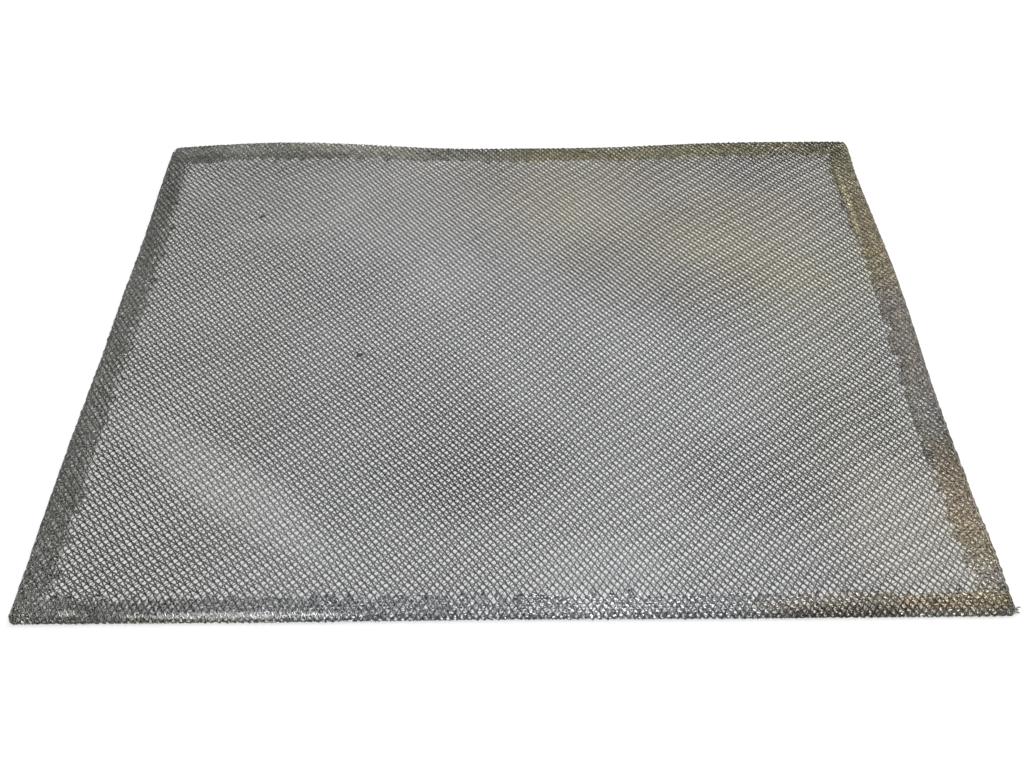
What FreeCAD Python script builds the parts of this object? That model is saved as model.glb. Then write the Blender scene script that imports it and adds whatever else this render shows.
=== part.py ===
"""Grease filter of a cooker hood: two sheets of expanded aluminium mesh in one folded hem.

The face sheet lies on top. Its four edges are folded round and back underneath, and the flaps
of that hem hold the edges of the backing sheet, whose mesh is laid crosswise. The filter lies
flat along its front edge, and its back edge is buckled: a crest at the left, a rise at the right.

Frame: X along the length, Y from the front edge to the back edge, Z up. The origin is at the
middle of the panel, on the surface that the filter lies on. All sizes are in millimetres.

The mesh of each sheet has diamond cells of the real proportions, drawn several times larger, with
the strands between them widened by as much.
"""

import FreeCAD, Part
import Sketcher
import math
import os

from FreeCAD import Vector

# Driving dimensions: alias, value, meaning
DIMENSIONS = [
    ("panel_length", 480, "outside length of the filter, along X"),
    ("panel_depth", 340, "outside depth of the filter, along Y"),
    ("hem_width", 15, "width of the folded hem, from the outer edge to the edge of its flap"),
    ("sheet_thickness", 1.2, "overall thickness of one sheet of mesh, strands included"),
    ("fit_clearance", 0.2, "free space above, below and round the backing sheet inside the hem"),
    ("fold_land", 0.2, "straight part of the fold between its two rounded edges"),
    ("corner_ease", 1.1, "how much larger the corners are in plan than the fold's own radius"),
    ("mitre_slit", 0.6, "width of the slit between two flaps at a corner"),
    ("mitre_bridge", 3, "distance from the outer end of such a slit to the two outer edges"),
    ("flat_depth", 120, "depth that lies flat, from the front edge"),
    ("crest_height", 6.7, "height of the back edge at its crest"),
    ("crest_inset", 82, "distance of the crest from the left edge"),
    ("crest_reach", 138, "distance from the crest to where the back edge is down again"),
    ("rise_height", 4.2, "height of the right end of the back edge"),
    ("rise_inset", 65, "distance from the right edge to the top of the rise"),
    ("rise_length", 135, "length of the rise, along X"),
    ("face_cell_length", 3.5, "real length of a diamond of the face sheet, along X"),
    ("face_cell_depth", 4.66, "real depth of a diamond of the face sheet, along Y"),
    ("backing_cell_length", 5.0, "real length of a diamond of the backing sheet, along X"),
    ("backing_cell_depth", 3.07, "real depth of a diamond of the backing sheet, along Y"),
    ("strand_width", 0.55, "real width of a strand, seen from above"),
    ("cell_enlargement", 13, "how many times larger than the real mesh the cells are drawn"),
    ("cell_margin", 2, "distance of the outermost cells from the inner edge of the hem"),
    ("least_cell", 0.2, "smallest share of a cell at the hem that is left open"),
]

# Derived sizes, as expressions on the sheet
HEM_HEIGHT = "(3 * Dimensions.sheet_thickness + 2 * Dimensions.fit_clearance)"
FOLD_RADIUS = f"(({HEM_HEIGHT} - Dimensions.fold_land) / 2)"
BACKING_BOTTOM = "(Dimensions.sheet_thickness + Dimensions.fit_clearance)"
BACKING_TOP = f"({BACKING_BOTTOM} + Dimensions.sheet_thickness)"
HIGHEST = f"({HEM_HEIGHT} + Dimensions.crest_height + Dimensions.rise_height)"
CELL_FIELD = "(Dimensions.hem_width + Dimensions.cell_margin)"

WAVE_COLUMNS = 15  # points across the buckled part that its surface passes through
WAVE_ROWS = 4  # points along it
OVERCUT = 1.0  # how far a cutting solid reaches past what it cuts
TOLERANCE = 1e-6


def make_sheet(doc):
    """The spreadsheet that holds the driving dimensions."""
    sheet = doc.addObject("Spreadsheet::Sheet", "Dimensions")
    for row, (alias, value, meaning) in enumerate(DIMENSIONS, start=1):
        sheet.set(f"A{row}", alias)
        sheet.set(f"B{row}", str(value))
        sheet.set(f"C{row}", meaning)
        sheet.setAlias(f"B{row}", alias)
    doc.recompute()
    return sheet


def number(sheet, expression):
    """The value of an expression on the sheet."""
    return float(sheet.evalExpression(str(expression)))


def swell(share):
    """Half a cosine wave: 0 up to a share of 0, 1 from a share of 1 on."""
    return (1 - math.cos(math.pi * min(max(share, 0.0), 1.0))) / 2


def wave_height(sheet, x, y):
    """Height of the buckled sheet over the flat: a crest and a rise along X that grow with Y."""
    half_depth = sheet.panel_depth / 2
    flat_end = sheet.flat_depth - half_depth
    share = min(max((y - flat_end) / (half_depth - flat_end), 0.0), 1.0)
    growth = share * share * (3 - 2 * share)
    from_crest = abs(x + sheet.panel_length / 2 - sheet.crest_inset)
    crest = sheet.crest_height * swell(1 - from_crest / sheet.crest_reach)
    up_rise = x - sheet.panel_length / 2 + sheet.rise_inset + sheet.rise_length
    rise = sheet.rise_height * swell(up_rise / sheet.rise_length)
    return growth * (crest + rise)


def make_slab(doc, sheet, name, low, high, inset):
    """A slab that follows the filter's form between two heights: a flat box and a buckled part.

    low, high and inset are expressions: the two heights over the surface that the filter lies on,
    and the distance of the slab's four sides from the filter's outer edges.
    """
    front = doc.addObject("Part::Box", name + "_flat")
    front.setExpression("Length", f"Dimensions.panel_length - 2 * ({inset})")
    front.setExpression("Width", f"Dimensions.flat_depth - ({inset})")
    front.setExpression("Height", f"({high}) - ({low})")
    front.setExpression("Placement.Base.x", f"({inset}) - Dimensions.panel_length / 2")
    front.setExpression("Placement.Base.y", f"({inset}) - Dimensions.panel_depth / 2")
    front.setExpression("Placement.Base.z", f"{low}")

    bottom = number(sheet, low)
    side = sheet.panel_length / 2 - number(sheet, inset)
    start = sheet.flat_depth - sheet.panel_depth / 2
    end = sheet.panel_depth / 2 - number(sheet, inset)
    columns = [side * (2 * i / (WAVE_COLUMNS - 1) - 1) for i in range(WAVE_COLUMNS)]
    rows = [start + (end - start) * j / (WAVE_ROWS - 1) for j in range(WAVE_ROWS)]
    surface = Part.BSplineSurface()
    surface.interpolate(
        [[Vector(x, y, bottom + wave_height(sheet, x, y)) for y in rows] for x in columns]
    )
    back = doc.addObject("Part::Feature", name + "_buckled")
    back.Shape = surface.toShape().extrude(Vector(0, 0, number(sheet, high) - bottom))
    return combine(doc, "Part::Fuse", name, front, back)


def combine(doc, kind, name, base, tool):
    """A boolean of two objects, computed at once."""
    made = doc.addObject(kind, name)
    made.Base = base
    made.Tool = tool
    made.Refine = False
    doc.recompute()
    return made


def is_upright(edge):
    """Does the edge stand straight up?"""
    start, end = edge.Vertexes[0].Point, edge.Vertexes[-1].Point
    return math.hypot(start.x - end.x, start.y - end.y) < TOLERANCE


def make_fillet(doc, name, base, radius, wanted):
    """Rounds the edges of an object that the function wanted picks."""
    made = doc.addObject("Part::Fillet", name)
    made.Base = base
    made.Edges = [
        (place, radius, radius)
        for place, edge in enumerate(base.Shape.Edges, start=1)
        if wanted(edge)
    ]
    doc.recompute()
    return made


def round_fold(doc, sheet, blank):
    """Rounds the corners of the folded blank in plan, then the fold all the way round."""
    half_length, half_depth = sheet.panel_length / 2, sheet.panel_depth / 2
    flat_end = sheet.flat_depth - half_depth
    fold_radius = number(sheet, FOLD_RADIUS)

    def at_corner(edge):
        point = edge.Vertexes[0].Point
        out = max(abs(abs(point.x) - half_length), abs(abs(point.y) - half_depth))
        return is_upright(edge) and out < TOLERANCE

    def on_rim(edge):
        middle = edge.valueAt((edge.FirstParameter + edge.LastParameter) / 2)
        seam = abs(middle.y - flat_end) < TOLERANCE and abs(middle.x) < half_length - TOLERANCE
        return not is_upright(edge) and not seam

    corners = make_fillet(doc, "blank_corners", blank, fold_radius + sheet.corner_ease, at_corner)
    return make_fillet(doc, "blank_rounded", corners, fold_radius, on_rim)


def make_diamond(doc, label):
    """An upright cutter for one cell of a sheet's mesh: the cell less half a strand on each side."""
    length = f"(Dimensions.{label}_cell_length * Dimensions.cell_enlargement)"
    depth = f"(Dimensions.{label}_cell_depth * Dimensions.cell_enlargement)"
    strand = "Dimensions.strand_width * Dimensions.cell_enlargement"
    side = f"sqrt({length} ^ 2 + {depth} ^ 2)"
    sketch = doc.addObject("Sketcher::SketchObject", f"{label}_cell_outline")
    tips = [Vector(1, 0, 0), Vector(0, 1, 0), Vector(-1, 0, 0), Vector(0, -1, 0)]
    for place, tip in enumerate(tips):
        sketch.addGeometry(Part.LineSegment(tip, tips[(place + 1) % 4]))
    rule = sketch.addConstraint
    for place in range(4):
        rule(Sketcher.Constraint("Coincident", place, 2, (place + 1) % 4, 1))
    for place, axis in enumerate((-1, -2, -1, -2)):
        rule(Sketcher.Constraint("PointOnObject", place, 1, axis))
    rule(Sketcher.Constraint("Equal", 0, 1))
    rule(Sketcher.Constraint("Equal", 1, 2))
    span = rule(Sketcher.Constraint("DistanceX", 2, 1, 0, 1, 2.0))
    rise = rule(Sketcher.Constraint("DistanceY", 3, 1, 1, 1, 2.0))
    sketch.setExpression(f"Constraints[{span}]", f"{length} - {strand} * {side} / {depth}")
    sketch.setExpression(f"Constraints[{rise}]", f"{depth} - {strand} * {side} / {length}")
    cutter = doc.addObject("Part::Extrusion", f"{label}_cell")
    cutter.Base = sketch
    cutter.DirMode = "Normal"
    cutter.Solid = True
    cutter.setExpression("LengthFwd", f"{HIGHEST} + {OVERCUT}")
    cutter.setExpression("LengthRev", f"{OVERCUT}")
    doc.recompute()
    return cutter


def cell_centres(sheet, label):
    """Centres of the cells that reach inside the hem, the first at the middle of the panel.

    Cells stand in rows and columns, and one more stands between every four.
    """
    cell_length = sheet.get(f"{label}_cell_length") * sheet.cell_enlargement
    cell_depth = sheet.get(f"{label}_cell_depth") * sheet.cell_enlargement
    columns = math.ceil(sheet.panel_length / 2 / cell_length)
    rows = math.ceil(sheet.panel_depth / 2 / cell_depth)
    return [
        Vector((i + shift) * cell_length, (j + shift) * cell_depth, 0)
        for shift in (0.0, 0.5)
        for i in range(-columns, columns + 1)
        for j in range(-rows, rows + 1)
    ]


def cut_mesh(doc, sheet, label, plain):
    """Opens the cells of a plain sheet's mesh, clipped along the inner edge of the hem."""
    cell = make_diamond(doc, label)
    field = doc.addObject("Part::Box", f"{label}_field")
    field.setExpression("Length", f"Dimensions.panel_length - 2 * {CELL_FIELD}")
    field.setExpression("Width", f"Dimensions.panel_depth - 2 * {CELL_FIELD}")
    field.setExpression("Height", f"{HIGHEST} + 2 * {OVERCUT}")
    field.setExpression("Placement.Base.x", f"{CELL_FIELD} - Dimensions.panel_length / 2")
    field.setExpression("Placement.Base.y", f"{CELL_FIELD} - Dimensions.panel_depth / 2")
    field.setExpression("Placement.Base.z", f"-{OVERCUT}")
    doc.recompute()
    clipped = [
        field.Shape.common(cell.Shape.translated(centre)) for centre in cell_centres(sheet, label)
    ]
    least = sheet.least_cell * cell.Shape.Volume
    cells = doc.addObject("Part::Feature", f"{label}_cells")
    cells.Shape = Part.makeCompound([piece for piece in clipped if piece.Volume > least])
    pierced = combine(doc, "Part::Cut", f"{label}_sheet", plain, cells)
    print(f"{pierced.Label}: {len(cells.Shape.Solids)} open cells")
    return pierced


def make_mitres(doc, sheet):
    """The slits at the four corners, where two flaps of the hem meet at 45 degrees."""
    run = (sheet.hem_width - sheet.mitre_bridge) * math.sqrt(2)
    tall = number(sheet, HIGHEST)
    slits = []
    for turn, right, back in ((225, -1, -1), (315, 1, -1), (45, 1, 1), (135, -1, 1)):
        slit = Part.makeBox(run + OVERCUT, sheet.mitre_slit, tall + OVERCUT)
        slit.translate(Vector(-OVERCUT, -sheet.mitre_slit / 2, -OVERCUT))
        slit.rotate(Vector(0, 0, 0), Vector(0, 0, 1), turn)
        corner_x = right * (sheet.panel_length / 2 - sheet.hem_width)
        corner_y = back * (sheet.panel_depth / 2 - sheet.hem_width)
        slits.append(slit.translated(Vector(corner_x, corner_y, 0)))
    made = doc.addObject("Part::Feature", "mitre_slits")
    made.Shape = Part.makeCompound(slits)
    flap_layer = make_slab(
        doc,
        sheet,
        "flap_layer",
        f"-{OVERCUT}",
        "Dimensions.sheet_thickness + Dimensions.fit_clearance / 2",
        "0",
    )
    return combine(doc, "Part::Common", "mitres", flap_layer, made)


def make_face_sheet(doc, sheet):
    """The face sheet: the panel, the fold round its edges and the flaps underneath."""
    blank = make_slab(doc, sheet, "blank", "0", HEM_HEIGHT, "0")
    rounded = round_fold(doc, sheet, blank)
    slot = make_slab(
        doc,
        sheet,
        "slot",
        "Dimensions.sheet_thickness",
        f"{HEM_HEIGHT} - Dimensions.sheet_thickness",
        "Dimensions.sheet_thickness",
    )
    window = make_slab(
        doc, sheet, "window", f"-{OVERCUT}", f"{HEM_HEIGHT} / 2", "Dimensions.hem_width"
    )
    folded = combine(doc, "Part::Cut", "folded", rounded, slot)
    open_back = combine(doc, "Part::Cut", "open_back", folded, window)
    mitred = combine(doc, "Part::Cut", "mitred", open_back, make_mitres(doc, sheet))
    return cut_mesh(doc, sheet, "face", mitred)


def make_backing_sheet(doc, sheet):
    """The backing sheet: a flat cut of mesh whose edges lie in the hem."""
    plain = make_slab(doc, sheet, "backing_blank", BACKING_BOTTOM, BACKING_TOP, BACKING_BOTTOM)
    return cut_mesh(doc, sheet, "backing", plain)


def check(doc, parts):
    """Stops if an object of the document failed or a part has no valid shape."""
    for item in doc.Objects:
        if {"Invalid", "Error"} & set(item.State):
            raise RuntimeError(f"{item.Name} failed: {item.State}")
    for part in parts:
        if part.Shape.isNull() or not part.Shape.isValid():
            raise RuntimeError(f"{part.Label} has no valid shape")


def main():
    """Builds the document and writes each part's solid."""
    doc = FreeCAD.newDocument("grease_filter")
    sheet = make_sheet(doc)
    parts = [make_face_sheet(doc, sheet), make_backing_sheet(doc, sheet)]
    doc.recompute()
    check(doc, parts)
    os.makedirs("parts", exist_ok=True)
    for part in parts:
        solids = part.Shape.Solids
        print(f"{part.Label}: {len(solids)} solid, {part.Shape.Volume:.0f} mm3")
        part.Shape.exportStep(f"parts/{part.Label}.step")


main()
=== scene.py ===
"""Cooker hood grease filter: two crossed sheets of expanded aluminium mesh in one folded hem.

Every strand of both sheets is drawn. Expanded metal is a row of zigzag ribbons that lean the same
way and meet their neighbours edge to edge at the knuckles, so each sheet is a grid of rings, one
at each knuckle of each ribbon and more near the folds, laid out on the flat cut of the sheet and
then folded, buckled and bent. Lengths are in metres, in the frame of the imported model.
"""

import logging
import math
from abc import ABC, abstractmethod
from dataclasses import dataclass, field
from enum import Enum, IntEnum

import bpy
import numpy as np
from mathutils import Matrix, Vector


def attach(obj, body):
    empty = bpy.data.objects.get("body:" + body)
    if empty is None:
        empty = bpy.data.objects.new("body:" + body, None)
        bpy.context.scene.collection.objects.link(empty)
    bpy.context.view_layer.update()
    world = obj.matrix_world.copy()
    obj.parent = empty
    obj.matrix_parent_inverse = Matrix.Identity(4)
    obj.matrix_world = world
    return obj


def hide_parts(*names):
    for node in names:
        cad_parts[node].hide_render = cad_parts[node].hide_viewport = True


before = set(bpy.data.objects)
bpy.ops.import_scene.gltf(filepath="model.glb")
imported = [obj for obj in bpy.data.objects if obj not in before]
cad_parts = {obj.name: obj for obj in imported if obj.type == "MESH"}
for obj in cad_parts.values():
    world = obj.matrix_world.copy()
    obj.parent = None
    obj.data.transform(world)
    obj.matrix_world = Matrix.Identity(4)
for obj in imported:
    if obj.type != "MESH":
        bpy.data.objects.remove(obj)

LOG = logging.getLogger("grease_filter")
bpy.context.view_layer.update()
MM = 0.001

# Corners of a strand's section in order: their places across its width and through its thickness
SECTION_SIDE = np.array([-0.5, 0.5, 0.5, -0.5])
SECTION_FACE = np.array([-0.5, -0.5, 0.5, 0.5])


class Run(Enum):
    """The direction in which the ribbons of a sheet run."""

    FRONT_TO_BACK = "along Y"
    LEFT_TO_RIGHT = "along X"


class Draw(IntEnum):
    """What each of a sheet's random fields moves. The number is added to the sheet's seed."""

    LEAN = 0
    ACROSS = 1
    ALONG = 2
    FLAP_END = 3


@dataclass(frozen=True)
class Buckle:
    """How the filter is bent up along its back edge: a crest at the left, a rise at the right."""

    flat_depth: float = 120 * MM
    crest_height: float = 6.7 * MM
    crest_inset: float = 82 * MM
    crest_reach: float = 138 * MM
    rise_height: float = 4.2 * MM
    rise_inset: float = 65 * MM
    rise_length: float = 135 * MM

    @staticmethod
    def swell(share: np.ndarray) -> np.ndarray:
        """Half a cosine wave, from 0 at a share of 0 to 1 at a share of 1."""
        return (1 - np.cos(np.pi * np.clip(share, 0, 1))) / 2

    def lift(self, x: np.ndarray, y: np.ndarray, length: float, depth: float) -> np.ndarray:
        """Height of the buckled panel over the flat one.

        A cosine crest and a cosine rise along X are added and multiplied by a smooth step in Y.

        Args:
            x: places along the length.
            y: places along the depth.
            length: outside length of the panel.
            depth: outside depth of the panel.

        Returns:
            The height at each place.
        """
        start = self.flat_depth - depth / 2
        share = np.clip((y - start) / (depth / 2 - start), 0, 1)
        growth = share * share * (3 - 2 * share)
        from_crest = np.abs(x + length / 2 - self.crest_inset)
        crest = self.crest_height * self.swell(1 - from_crest / self.crest_reach)
        up_rise = x - length / 2 + self.rise_inset + self.rise_length
        return growth * (crest + self.rise_height * self.swell(up_rise / self.rise_length))


class Side(Enum):
    """The sides of the filter, each with its outward direction in X and Y."""

    FRONT = (0, -1)
    RIGHT = (1, 0)
    BACK = (0, 1)
    LEFT = (-1, 0)


@dataclass(frozen=True)
class Bow:
    """A stretch of one side that has bent out, or in where its depth is below zero."""

    side: Side
    depth: float
    middle: float
    half_length: float
    reach: float = 120 * MM

    def bend(self, x: np.ndarray, y: np.ndarray, length: float, depth: float) -> np.ndarray:
        """How far each place moves outward.

        The move is one cosine wave along the side, and grows evenly over the reach up to the side.

        Args:
            x: places along the length.
            y: places along the depth.
            length: outside length of the panel.
            depth: outside depth of the panel.

        Returns:
            The move at each place.
        """
        out_x, out_y = self.side.value
        half = (abs(out_x) * length + abs(out_y) * depth) / 2
        along = abs(out_y) * x + abs(out_x) * y
        near = np.clip((out_x * x + out_y * y - half) / self.reach + 1, 0, 1)
        return self.depth * near * Buckle.swell(1 - np.abs(along - self.middle) / self.half_length)


@dataclass(frozen=True)
class Panel:
    """The outside form of the filter, which both sheets follow.

    The hem slips are how much wider the front, right, back and left hems came out than they were
    meant. The back hem is wider at its left end, and changes to its own slip along X.
    """

    length: float = 480 * MM
    depth: float = 340 * MM
    hem_width: float = 15 * MM
    sheet_thickness: float = 1.2 * MM
    fit_clearance: float = 0.2 * MM
    roll_width: float = 7 * MM
    roll_drop: float = 0.4
    corner_reach: float = 4 * MM
    corner_draw: float = 0.9 * MM
    hem_slips: tuple[float, float, float, float] = (-2.0 * MM, 1.8 * MM, -2.5 * MM, 1.6 * MM)
    back_left_slip: float = 1.5 * MM
    slip_change_start: float = 75 * MM
    slip_change_length: float = 75 * MM
    mitre_lap: float = 1.5 * MM
    bows: tuple[Bow, ...] = (
        Bow(Side.RIGHT, 2.7 * MM, 40 * MM, 110 * MM),
        Bow(Side.RIGHT, 0.6 * MM, -138 * MM, 25 * MM),
        Bow(Side.RIGHT, 1.0 * MM, 165 * MM, 30 * MM),
        Bow(Side.LEFT, 0.75 * MM, -80 * MM, 85 * MM),
        Bow(Side.LEFT, -0.8 * MM, 85 * MM, 60 * MM),
        Bow(Side.FRONT, -0.4 * MM, -5 * MM, 110 * MM),
    )
    buckle: Buckle = field(default_factory=Buckle)

    @property
    def hem_height(self) -> float:
        """Height of the hem: two layers of the face sheet with the backing sheet between them."""
        return 3 * self.sheet_thickness + 2 * self.fit_clearance

    def lift(self, x: np.ndarray, y: np.ndarray) -> np.ndarray:
        """Height of the buckled panel over the flat one."""
        return self.buckle.lift(x, y, self.length, self.depth)

    def pinch(self, x: np.ndarray, y: np.ndarray) -> np.ndarray:
        """Share of its height that the hem keeps: less toward the front, left and right edge.

        The loss grows with the square of the way from the roll's start to the edge.

        Args:
            x: places along the length.
            y: places along the depth.

        Returns:
            The share at each place.
        """
        inside = np.minimum(self.length / 2 - np.abs(x), self.depth / 2 + y)
        near = 1 - np.clip(inside / self.roll_width, 0, 1)
        return 1 - self.roll_drop * near * near

    def slip(self, x: np.ndarray, y: np.ndarray) -> tuple[np.ndarray, np.ndarray]:
        """How much wider or narrower the hems came out than they were meant.

        Args:
            x: places along the length.
            y: places along the depth.

        Returns:
            The slip of the left or right hem, and of the front or back hem, at each place.
        """
        front, right, back, left = self.hem_slips
        from_change = x + self.length / 2 - self.slip_change_start
        share = Buckle.swell(from_change / self.slip_change_length)
        back = self.back_left_slip + (back - self.back_left_slip) * share
        return np.where(x > 0, right, left), np.where(y > 0, back, front)

    def bent(self, x: np.ndarray, y: np.ndarray) -> tuple[np.ndarray, np.ndarray]:
        """Draws the corners in and bends the sides.

        The corners' shift is the same in X and Y, and is the product of the nearness to both edges.

        Args:
            x: places along the length.
            y: places along the depth.

        Returns:
            The shifted places.
        """
        near_x = 1 - np.clip((self.length / 2 - np.abs(x)) / self.corner_reach, 0, 1)
        near_y = 1 - np.clip((self.depth / 2 - np.abs(y)) / self.corner_reach, 0, 1)
        shift = self.corner_draw * near_x * near_y
        place_x, place_y = x - np.sign(x) * shift, y - np.sign(y) * shift
        for bow in self.bows:
            bend = bow.bend(x, y, self.length, self.depth)
            place_x = place_x + bow.side.value[0] * bend
            place_y = place_y + bow.side.value[1] * bend
        return place_x, place_y


@dataclass(frozen=True)
class Gauge:
    """The cut and stretch of one sheet of expanded mesh.

    The long and short way are a diamond's diagonals, along and across the ribbons. The lean is the
    ribbons' tilt, and pressing is the share of it that the hem has lost. The skew shifts a strand's
    two edges along each other, and the slants turn the ribbons and the rows of knuckles. Overstretch
    widens the diamonds with the square of the way past the stretch's start. The bite is the share of
    a strand's width by which a ribbon overlaps each neighbour.
    """

    long_way: float
    short_way: float
    strand_width: float
    strand_thickness: float
    lean_degrees: float
    skew: float
    ribbon_slant: float
    knuckle_slant: float
    pressing: float
    overstretch: float
    bite: float
    stretch_start: float = 60 * MM


@dataclass(frozen=True)
class Wear:
    """How uneven both sheets are.

    Each knuckle's lean is off by chance, more in the hem than on the panel, and the lean and place
    of the ribbons drift slowly over the sheet. The strands are spread flat at the outer edge, and
    the flaps end raggedly. Every second ribbon lies a hair higher, so that no two faces coincide.
    """

    lean_chance: float = 5.0
    hem_lean_chance: float = 14.0
    lean_drift: float = 5.0
    place_drift: float = 0.35 * MM
    edge_zone: float = 2.5 * MM
    edge_spread: float = 0.8
    margin_change: float = 3 * MM
    ragged: float = 1.8 * MM
    ragged_waves: int = 9
    ragged_shortest: float = 2.5 * MM
    ragged_longest: float = 14 * MM
    ribbon_step: float = 0.02 * MM


@dataclass
class Ripple:
    """Slow unevenness of a stretched sheet: a sum of a few long sine waves."""

    seed: int
    waves: int = 7
    shortest: float = 45 * MM
    longest: float = 260 * MM

    def field(self, x: np.ndarray, y: np.ndarray) -> np.ndarray:
        """A smooth field of about -1 to 1.

        Each wave is the sine of a place's distance along a random direction, over its length.

        Args:
            x: places along the length.
            y: places along the depth.

        Returns:
            The field at each place.
        """
        rng = np.random.default_rng(self.seed)
        lengths = np.exp(rng.uniform(np.log(self.shortest), np.log(self.longest), self.waves))
        angles = rng.uniform(0, 2 * np.pi, self.waves)
        starts = rng.uniform(0, 2 * np.pi, self.waves)
        total = np.zeros(np.broadcast(x, y).shape)
        for length, angle, start in zip(lengths, angles, starts):
            along = np.cos(angle) * x + np.sin(angle) * y
            total = total + np.sin(2 * np.pi * along / length + start)
        return total / math.sqrt(self.waves)


class Shade:
    """A socket of a shader, on which Python's operators add Math nodes."""

    def __init__(self, graph: "Graph", socket: bpy.types.NodeSocket) -> None:
        """Keeps the socket and the graph that it belongs to."""
        self.graph = graph
        self.socket = socket

    def __add__(self, other: "Shade | float") -> "Shade":
        """Sum."""
        return self.graph.math("ADD", self, other)

    __radd__ = __add__

    def __sub__(self, other: "Shade | float") -> "Shade":
        """Difference."""
        return self.graph.math("SUBTRACT", self, other)

    def __rsub__(self, other: float) -> "Shade":
        """Difference, with the number first."""
        return self.graph.math("SUBTRACT", other, self)

    def __mul__(self, other: "Shade | float") -> "Shade":
        """Product."""
        return self.graph.math("MULTIPLY", self, other)

    __rmul__ = __mul__

    def __truediv__(self, other: "Shade | float") -> "Shade":
        """Quotient."""
        return self.graph.math("DIVIDE", self, other)

    def most(self, other: "Shade | float") -> "Shade":
        """The larger of two values."""
        return self.graph.math("MAXIMUM", self, other)

    def step(self, low: float, high: float) -> "Shade":
        """A smooth step between two values. It falls where the first is above the second.

        Args:
            low: the value at which the step is 0.
            high: the value at which it is 1.

        Returns:
            The step.
        """
        settings = {"interpolation_type": "SMOOTHSTEP"}
        falls = low > high
        values = {0: self, 1: min(low, high), 2: max(low, high), 3: float(falls), 4: float(not falls)}
        return self.graph.out(self.graph.node("ShaderNodeMapRange", settings, values), 0)


class Graph:
    """The nodes of one material or world."""

    def __init__(self, owner: bpy.types.Material | bpy.types.World) -> None:
        """Starts with an empty tree.

        Args:
            owner: the material or world whose tree is filled.
        """
        owner.use_nodes = True
        self.tree = owner.node_tree
        self.tree.nodes.clear()

    def node(
        self,
        kind: str,
        settings: dict[str, object] | None = None,
        sockets: dict[str | int, object] | None = None,
    ) -> bpy.types.Node:
        """Adds a node.

        Args:
            kind: the node's type.
            settings: its own settings, which are set first.
            sockets: values or links of its inputs, by name or place.

        Returns:
            The node.
        """
        made = self.tree.nodes.new(kind)
        for name, value in (settings or {}).items():
            setattr(made, name, value)
        for name, value in (sockets or {}).items():
            if isinstance(value, Shade):
                self.tree.links.new(value.socket, made.inputs[name])
            else:
                made.inputs[name].default_value = value
        return made

    def out(self, node: bpy.types.Node, name: str | int = 0) -> Shade:
        """An output of a node, by name or place."""
        return Shade(self, node.outputs[name])

    def math(self, operation: str, *values: "Shade | float") -> Shade:
        """A Math node on values."""
        node = self.node("ShaderNodeMath", {"operation": operation}, dict(enumerate(values)))
        return self.out(node)

    def blend(self, share: Shade, low: object, high: object) -> Shade:
        """A colour between two, by a share.

        Args:
            share: 0 for the first colour, 1 for the second.
            low: the first colour, a link or a tuple.
            high: the second colour, a link or a tuple.

        Returns:
            The blended colour.
        """
        settings = {"data_type": "RGBA", "clamp_factor": True}
        return self.out(self.node("ShaderNodeMix", settings, {0: share, 6: low, 7: high}), 2)

    def place(self) -> tuple[Shade, Shade, Shade, Shade]:
        """The place on the piece, in metres.

        Returns:
            The vector, and its X, Y and Z.
        """
        vector = self.out(self.node("ShaderNodeTexCoord"), "Object")
        split = self.node("ShaderNodeSeparateXYZ", None, {0: vector})
        return vector, self.out(split, 0), self.out(split, 1), self.out(split, 2)

    def noise(self, vector: Shade, scale: float, detail: float = 2.0, rough: float = 0.5) -> Shade:
        """Smooth noise from 0 to 1.

        Args:
            vector: where it is read.
            scale: spots in a metre.
            detail: how many finer layers it has.
            rough: how strong those are.

        Returns:
            The noise.
        """
        values = {"Vector": vector, "Scale": scale, "Detail": detail, "Roughness": rough}
        return self.out(self.node("ShaderNodeTexNoise", None, values), 0)


@dataclass(frozen=True)
class Patch:
    """A soft oval on the filter, strongest in its middle.

    Its middle and half sizes are in millimetres, and its turn is in degrees.
    """

    x: float
    y: float
    half_length: float
    half_width: float
    turn: float
    strength: float

    def share(self, x: Shade, y: Shade) -> Shade:
        """The patch's strength at each place.

        The place is turned into the oval's own axes and divided by its half sizes. The strength
        falls by a smooth step with the square of the distance that results.

        Args:
            x: places along the length.
            y: places along the depth.

        Returns:
            The strength.
        """
        cosine, sine = math.cos(math.radians(self.turn)), math.sin(math.radians(self.turn))
        from_x, from_y = x - self.x * MM, y - self.y * MM
        along = (cosine * from_x + sine * from_y) / (self.half_length * MM)
        across = (cosine * from_y - sine * from_x) / (self.half_width * MM)
        return self.strength * (along * along + across * across).step(1.0, 0.0)


@dataclass(frozen=True)
class HemTone:
    """How one hem looks beside the panel: how much lighter or darker painted light and shade make it, a
    painted highlight on its rolled edge, and its random flecks, which also paint glints.

    The hem's painted light reaches inward from the outer edge and ends softly. The rolled edge's painted
    highlight grows toward the outer edge.
    """

    reach: float
    gain: float
    roll_painted_highlight: float
    speckle_and_glints: float
    soft: float = 2.0 * MM
    roll_start: float = 8 * MM
    roll_full: float = 1 * MM

    def shares(self, inside: Shade) -> tuple[Shade, Shade]:
        """Shares of the hem and of its rolled edge, 0 to 1 each, by the distance from the outer edge."""
        hem = inside.step(self.reach + self.soft, self.reach - self.soft)
        return hem, inside.step(self.roll_start, self.roll_full)


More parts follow.
